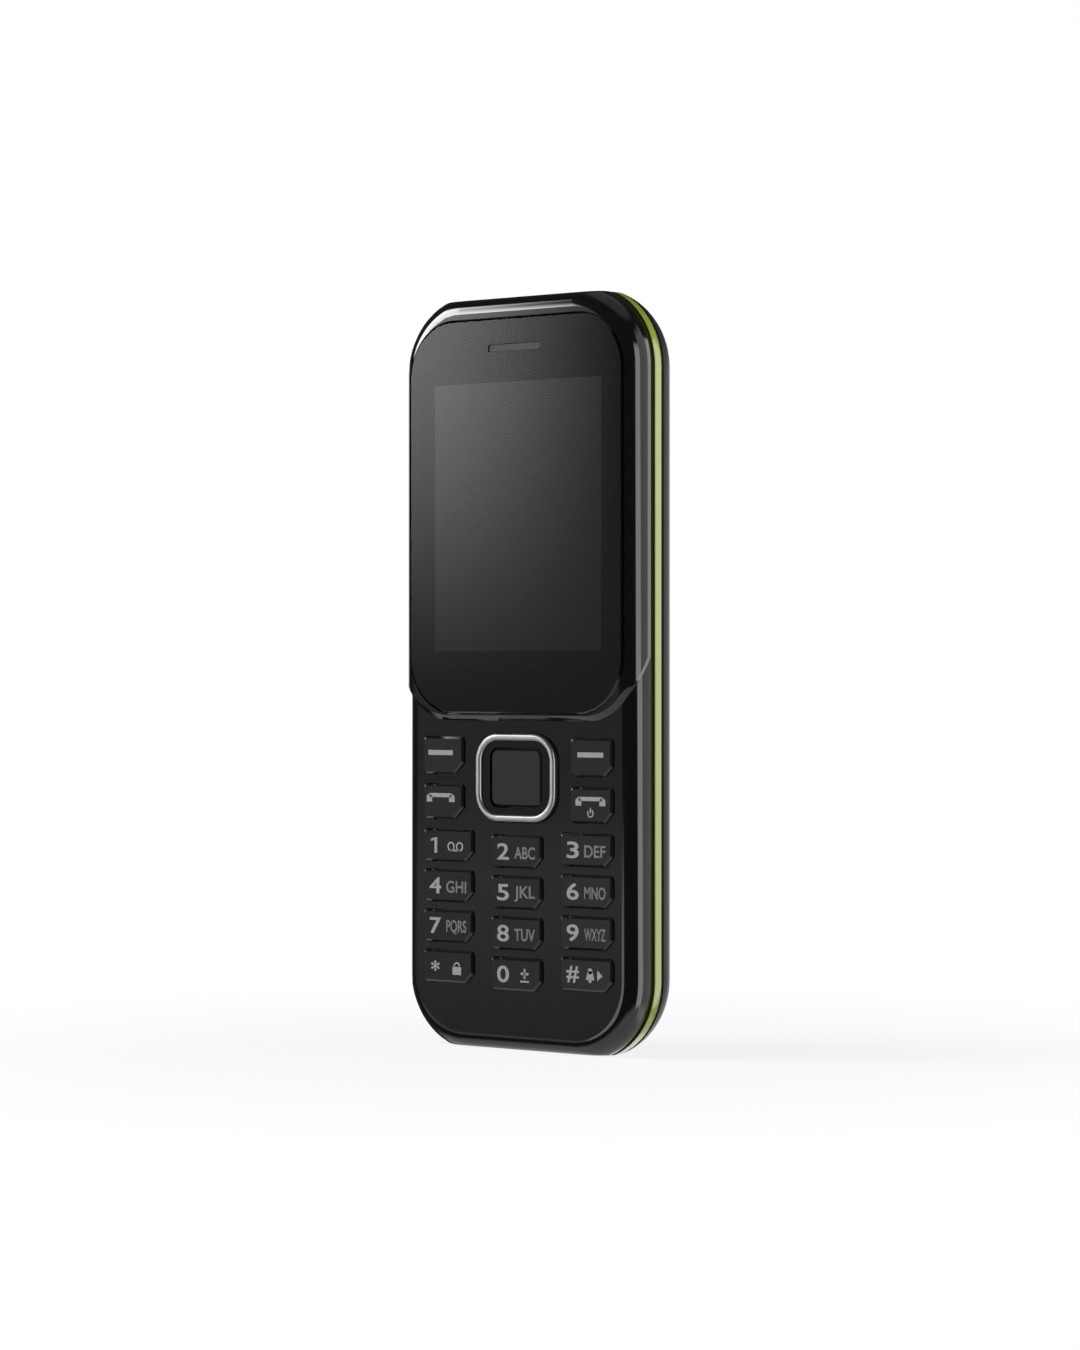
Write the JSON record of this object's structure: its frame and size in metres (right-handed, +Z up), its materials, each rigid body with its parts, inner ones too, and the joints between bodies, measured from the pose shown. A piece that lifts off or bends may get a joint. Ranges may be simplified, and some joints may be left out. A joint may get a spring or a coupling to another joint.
{
  "type": "feature phone",
  "caption": "Candybar feature phone with a raised screen window, number keys, a chrome-ringed navigation key, a lime side band and a removable rounded back cover.",
  "frame": {"origin": "bottom centre of the phone's box: on the plane of its lower end, in the middle of its width and thickness", "axes": "+Z up along the phone's length, -Y out of the screen, +X to the right as the screen is looked at"},
  "size_m": [0.0458, 0.0134, 0.1125],
  "materials": {
    "gloss_black": "polished piano black",
    "window_clear": "polished clear acrylic with a dark border print behind",
    "mesh_grey": "fine woven mesh",
    "display_dark": "switched-off display behind a polariser",
    "diffuser_white": "light guide",
    "steel": "thin pressed sheet",
    "film_amber": "flexible printed film",
    "connector_ivory": "moulded",
    "key_black": "satin, lightly textured",
    "chrome": "satin plated",
    "silicone": "translucent grey",
    "film_clear": "thin polyester film",
    "board_green": "solder mask",
    "chip_black": "moulded",
    "speaker_black": "moulded",
    "tungsten": "sintered",
    "battery_grey": "wrapped cell",
    "gold": "plated spring blade",
    "copper": "stamped foil",
    "lime": "satin lime green",
    "matte_black": "moulded",
    "cover_black": "fine satin texture",
    "screw_black": "blackened steel"
  },
  "bodies": {
    "housing": {"front_fascia": "gloss_black", "screen_window": "window_clear", "earpiece_mesh": "mesh_grey", "lcd_glass": "display_dark", "lcd_backlight": "diffuser_white", "lcd_frame": "steel", "display_ribbon": "film_amber", "display_connector": "connector_ivory", "keymat": "silicone", "dome_sheet": "film_clear", "metal_domes": "steel", "main_board": "board_green", "shield_can_processor": "steel", "shield_can_radio": "steel", "processor_chip": "chip_black", "radio_chip": "chip_black", "micro_usb_socket": "steel", "headphone_jack": "chip_black", "earpiece_speaker": "speaker_black", "microphone": "steel", "loudspeaker": "speaker_black", "vibration_motor": "steel", "battery_connector": "connector_ivory", "battery_contacts": "gold", "sim_socket_1": "steel", "sim_socket_2": "steel", "memory_card_socket": "steel", "antenna": "copper", "side_trim": "lime", "rear_case": "matte_black", "case_screws": "screw_black"},
    "key_1": {"key_1": "key_black"},
    "key_2": {"key_2": "key_black"},
    "key_3": {"key_3": "key_black"},
    "key_4": {"key_4": "key_black"},
    "key_5": {"key_5": "key_black"},
    "key_6": {"key_6": "key_black"},
    "key_7": {"key_7": "key_black"},
    "key_8": {"key_8": "key_black"},
    "key_9": {"key_9": "key_black"},
    "key_star": {"key_star": "key_black"},
    "key_0": {"key_0": "key_black"},
    "key_hash": {"key_hash": "key_black"},
    "soft_key_left": {"soft_key_left": "key_black"},
    "soft_key_right": {"soft_key_right": "key_black"},
    "call_key": {"call_key": "key_black"},
    "end_key": {"end_key": "key_black"},
    "nav_plate": {"nav_rocker_plate": "steel"},
    "nav_rocker": {"nav_ring": "key_black", "nav_ring_trim": "chrome"},
    "select_key": {"nav_select_key": "key_black"},
    "cover": {"back_cover": "cover_black"},
    "battery": {"battery_pack": "battery_grey"},
    "motor_weight": {"vibration_weight": "tungsten"}
  },
  "joints": [
    {"name": "key_1_press", "type": "slide", "parent": "housing", "child": "key_1", "axis": [0, 1, 0], "range_m": [0, 0.0003], "stiffness_N_per_m": 4000},
    {"name": "key_2_press", "type": "slide", "parent": "housing", "child": "key_2", "axis": [0, 1, 0], "range_m": [0, 0.0003], "stiffness_N_per_m": 4000},
    {"name": "key_3_press", "type": "slide", "parent": "housing", "child": "key_3", "axis": [0, 1, 0], "range_m": [0, 0.0003], "stiffness_N_per_m": 4000},
    {"name": "key_4_press", "type": "slide", "parent": "housing", "child": "key_4", "axis": [0, 1, 0], "range_m": [0, 0.0003], "stiffness_N_per_m": 4000},
    {"name": "key_5_press", "type": "slide", "parent": "housing", "child": "key_5", "axis": [0, 1, 0], "range_m": [0, 0.0003], "stiffness_N_per_m": 4000},
    {"name": "key_6_press", "type": "slide", "parent": "housing", "child": "key_6", "axis": [0, 1, 0], "range_m": [0, 0.0003], "stiffness_N_per_m": 4000},
    {"name": "key_7_press", "type": "slide", "parent": "housing", "child": "key_7", "axis": [0, 1, 0], "range_m": [0, 0.0003], "stiffness_N_per_m": 4000},
    {"name": "key_8_press", "type": "slide", "parent": "housing", "child": "key_8", "axis": [0, 1, 0], "range_m": [0, 0.0003], "stiffness_N_per_m": 4000},
    {"name": "key_9_press", "type": "slide", "parent": "housing", "child": "key_9", "axis": [0, 1, 0], "range_m": [0, 0.0003], "stiffness_N_per_m": 4000},
    {"name": "key_star_press", "type": "slide", "parent": "housing", "child": "key_star", "axis": [0, 1, 0], "range_m": [0, 0.0003], "stiffness_N_per_m": 4000},
    {"name": "key_0_press", "type": "slide", "parent": "housing", "child": "key_0", "axis": [0, 1, 0], "range_m": [0, 0.0003], "stiffness_N_per_m": 4000},
    {"name": "key_hash_press", "type": "slide", "parent": "housing", "child": "key_hash", "axis": [0, 1, 0], "range_m": [0, 0.0003], "stiffness_N_per_m": 4000},
    {"name": "soft_key_left_press", "type": "slide", "parent": "housing", "child": "soft_key_left", "axis": [0, 1, 0], "range_m": [0, 0.0003], "stiffness_N_per_m": 4000},
    {"name": "soft_key_right_press", "type": "slide", "parent": "housing", "child": "soft_key_right", "axis": [0, 1, 0], "range_m": [0, 0.0003], "stiffness_N_per_m": 4000},
    {"name": "call_key_press", "type": "slide", "parent": "housing", "child": "call_key", "axis": [0, 1, 0], "range_m": [0, 0.0003], "stiffness_N_per_m": 4000},
    {"name": "end_key_press", "type": "slide", "parent": "housing", "child": "end_key", "axis": [0, 1, 0], "range_m": [0, 0.0003], "stiffness_N_per_m": 4000},
    {"name": "nav_rock_up_down", "type": "hinge", "parent": "housing", "child": "nav_plate", "pos_m": [0, -0.00285, 0.0407], "axis": [1, 0, 0], "range_deg": [-1.6, 1.6], "stiffness_Nm_per_rad": 0.2},
    {"name": "nav_rock_left_right", "type": "hinge", "parent": "nav_plate", "child": "nav_rocker", "pos_m": [0, -0.00371, 0.0407], "axis": [0, 0, 1], "range_deg": [-1.6, 1.6], "stiffness_Nm_per_rad": 0.2},
    {"name": "select_press", "type": "slide", "parent": "housing", "child": "select_key", "axis": [0, 1, 0], "range_m": [0, 0.00025], "stiffness_N_per_m": 4000},
    {"name": "cover_release", "type": "slide", "parent": "housing", "child": "cover", "axis": [0, 1, 0], "range_m": [0, 0.02]},
    {"name": "battery_lift", "type": "slide", "parent": "housing", "child": "battery", "axis": [0, 1, 0], "range_m": [0, 0.01]},
    {"name": "motor_spin", "type": "hinge", "parent": "housing", "child": "motor_weight", "pos_m": [-0.0073, 0.003, 0.0938], "axis": [1, 0, 0], "continuous": true}
  ],
  "couplings": [
    {"joint": "battery_lift", "follows": "cover_release", "ratio": 0.5}
  ]
}
